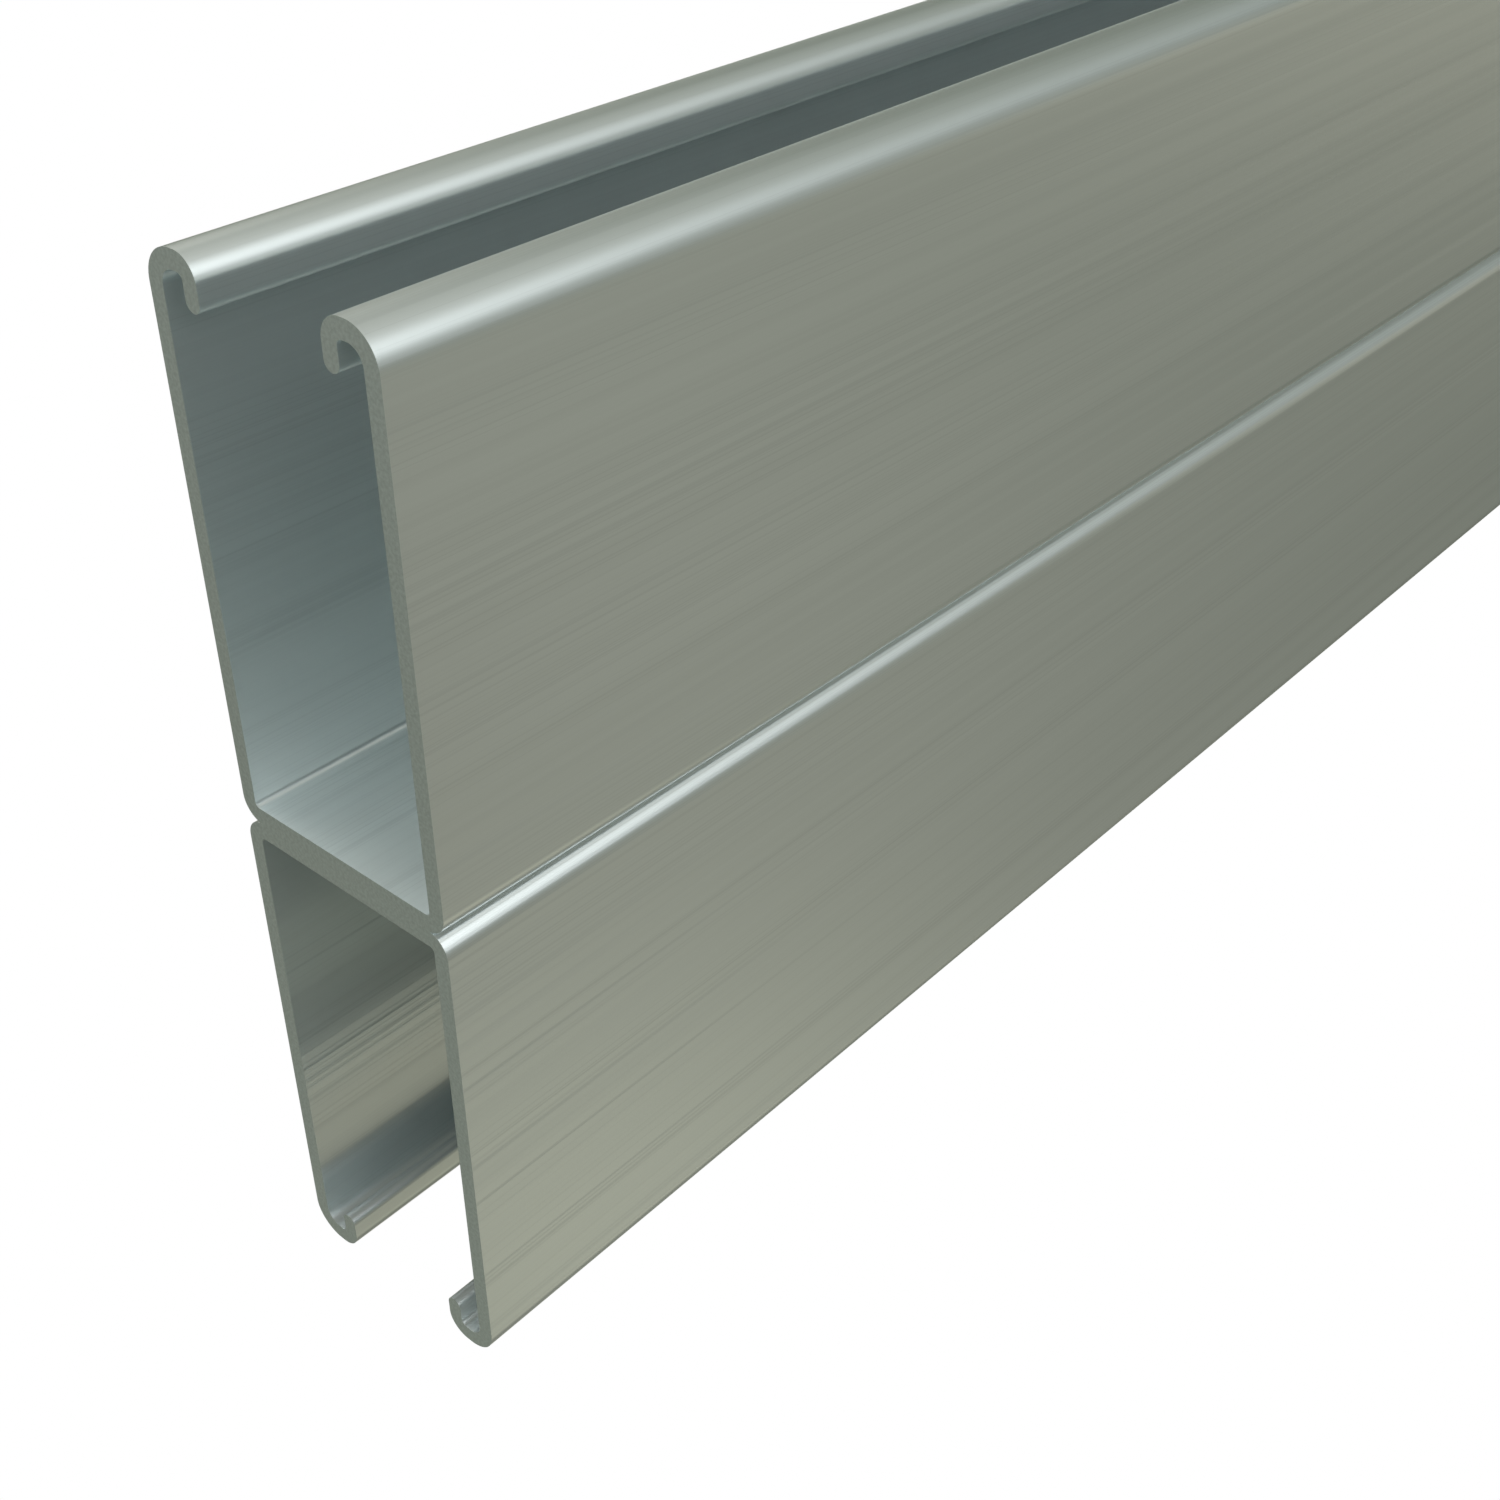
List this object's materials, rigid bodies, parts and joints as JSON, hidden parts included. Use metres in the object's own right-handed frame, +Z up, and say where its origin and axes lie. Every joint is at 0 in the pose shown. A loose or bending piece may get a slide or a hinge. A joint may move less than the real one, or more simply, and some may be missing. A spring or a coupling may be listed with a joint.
{
  "type": "back-to-back strut channel",
  "caption": "Deep roll-formed steel strut channel doubled back to back, with plain walls and lipped mouths facing up and down.",
  "frame": {"origin": "on the floor plane, below the centre of the length and of the width", "axes": "+X along the length, +Y across the channels, +Z up towards the upper mouth"},
  "size_m": [3.048, 0.0412, 0.1654],
  "materials": {
    "steel": "pre-galvanised mill finish with fine rolling lines along the length, and matte sawn ends"
  },
  "bodies": {
    "root": {"upper_channel": "steel", "lower_channel": "steel"}
  },
  "joints": []
}
